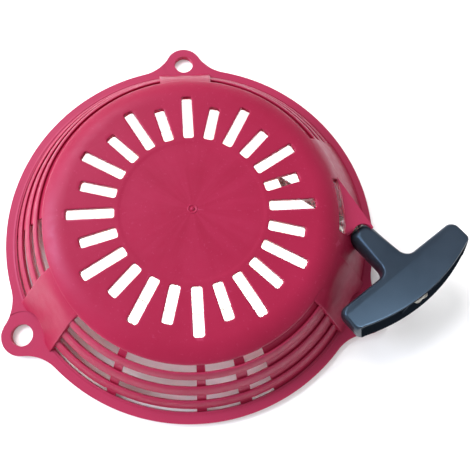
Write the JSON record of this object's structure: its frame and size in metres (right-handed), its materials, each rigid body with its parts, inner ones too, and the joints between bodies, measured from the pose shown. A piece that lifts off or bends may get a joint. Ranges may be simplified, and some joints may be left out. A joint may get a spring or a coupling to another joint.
{
  "type": "recoil starter",
  "caption": "Round slotted plastic housing with three bolt ears, a rope reel with pawls and recoil spring inside, and a T-shaped pull grip seated at a side rope guide.",
  "frame": {"origin": "centre of the three-bolt circle, on the back face of the mounting flange", "axes": "+Z out of the slotted face, +Y towards the top ear, +X to the side of the rope guide"},
  "size_m": [0.2113, 0.1925, 0.036],
  "materials": {
    "housing_plastic": "fine moulded grain, dyed crimson",
    "grip_plastic": "smooth moulded, blue-black",
    "reel_nylon": "natural moulded nylon",
    "guide_plastic": "black moulded nylon",
    "rope_fibre": "braided polyester rope",
    "plated_steel": "zinc plated",
    "insert_brass": "turned brass",
    "spring_steel": "blued, oiled strip"
  },
  "bodies": {
    "housing": {"starter_housing": "housing_plastic", "rope_eyelet": "plated_steel", "post_insert": "insert_brass", "recoil_spring": "spring_steel", "centre_screw": "plated_steel", "thrust_washer": "plated_steel", "rope_run": "rope_fibre"},
    "reel_assembly": {"reel": "reel_nylon", "spring_cover": "plated_steel", "rope_coil": "rope_fibre", "rope_reel_knot": "rope_fibre", "pawl_pin_1": "plated_steel", "pawl_pin_2": "plated_steel"},
    "guide": {"ratchet_guide": "guide_plastic", "friction_spring": "spring_steel"},
    "first_pawl": {"pawl_1": "plated_steel"},
    "second_pawl": {"pawl_2": "plated_steel"},
    "grip": {"grip_body": "grip_plastic", "grip_washer": "plated_steel", "rope_grip_end": "rope_fibre"}
  },
  "joints": [
    {"name": "grip_pull", "type": "slide", "parent": "housing", "child": "grip", "axis": [0.5256, -0.8156, 0.2419], "range_m": [0, 1.12], "stiffness_N_per_m": 12, "springref_m": -0.7, "deforming": ["rope_run"]},
    {"name": "reel_spin", "type": "hinge", "parent": "housing", "child": "reel_assembly", "pos_m": [0, 0, 0.019], "axis": [0, 0, -1], "range_deg": [0, 1798], "deforming": ["recoil_spring", "rope_run"]},
    {"name": "guide_turn", "type": "hinge", "parent": "reel_assembly", "child": "guide", "pos_m": [0, 0, 0.004], "axis": [0, 0, 1], "range_deg": [0, 30]},
    {"name": "pawl_1_swing", "type": "hinge", "parent": "reel_assembly", "child": "first_pawl", "pos_m": [0.02067, 0.00752, 0.009], "axis": [0, 0, 1], "range_deg": [0, 28.1]},
    {"name": "pawl_2_swing", "type": "hinge", "parent": "reel_assembly", "child": "second_pawl", "pos_m": [-0.02067, -0.00752, 0.009], "axis": [0, 0, 1], "range_deg": [0, 28.1]}
  ],
  "couplings": [
    {"joint": "reel_spin", "follows": "grip_pull", "rad_per_m": 28.011},
    {"joint": "pawl_1_swing", "follows": "guide_turn", "ratio": 0.93333},
    {"joint": "pawl_2_swing", "follows": "guide_turn", "ratio": 0.93333}
  ]
}
